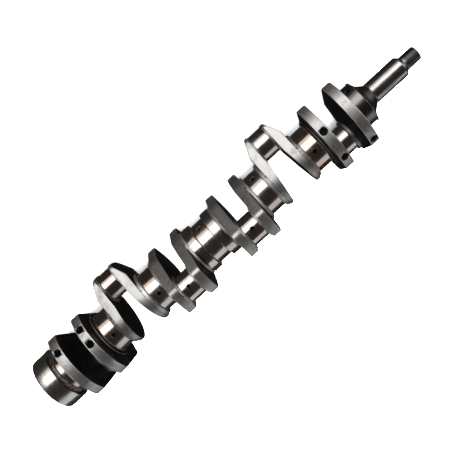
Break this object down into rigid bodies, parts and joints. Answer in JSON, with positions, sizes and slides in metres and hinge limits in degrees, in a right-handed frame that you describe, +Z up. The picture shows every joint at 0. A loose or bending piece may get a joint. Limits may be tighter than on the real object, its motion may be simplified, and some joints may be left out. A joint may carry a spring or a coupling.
{
  "type": "crankshaft",
  "caption": "Forged inline engine crankshaft with counterweighted webs, oil-drilled journals, a flywheel flange and a threaded front snout",
  "frame": {"origin": "middle of the centre main journal, on the shaft's axis", "axes": "+X along the shaft to the front snout, +Z up with crankpins 3 and 4 on top as it lies on a bench"},
  "size_m": [0.7465, 0.15, 0.1354],
  "materials": {
    "forged_web": "forged and ground steel, rims bright, cheeks darker",
    "ground_journal": "ground and polished steel",
    "turned_flange": "fine turned and polished steel",
    "turned_snout": "turned and polished steel",
    "dark_thread": "dark rolled thread"
  },
  "bodies": {
    "root": {"main_journal_1": "ground_journal", "main_journal_2": "ground_journal", "main_journal_3": "ground_journal", "main_journal_4": "ground_journal", "main_journal_5": "ground_journal", "main_journal_6": "ground_journal", "main_journal_7": "ground_journal", "crankpin_1": "ground_journal", "crankpin_2": "ground_journal", "crankpin_3": "ground_journal", "crankpin_4": "ground_journal", "crankpin_5": "ground_journal", "crankpin_6": "ground_journal", "web_1_front": "forged_web", "web_1_rear": "forged_web", "web_2_front": "forged_web", "web_2_rear": "forged_web", "web_3_front": "forged_web", "web_3_rear": "forged_web", "web_4_front": "forged_web", "web_4_rear": "forged_web", "web_5_front": "forged_web", "web_5_rear": "forged_web", "web_6_front": "forged_web", "web_6_rear": "forged_web", "thrust_collar_front": "ground_journal", "thrust_collar_rear": "ground_journal", "rear_oil_slinger": "turned_flange", "flywheel_flange": "turned_flange", "front_cone": "turned_snout", "front_snout": "turned_snout", "threaded_nose": "dark_thread"}
  },
  "joints": []
}
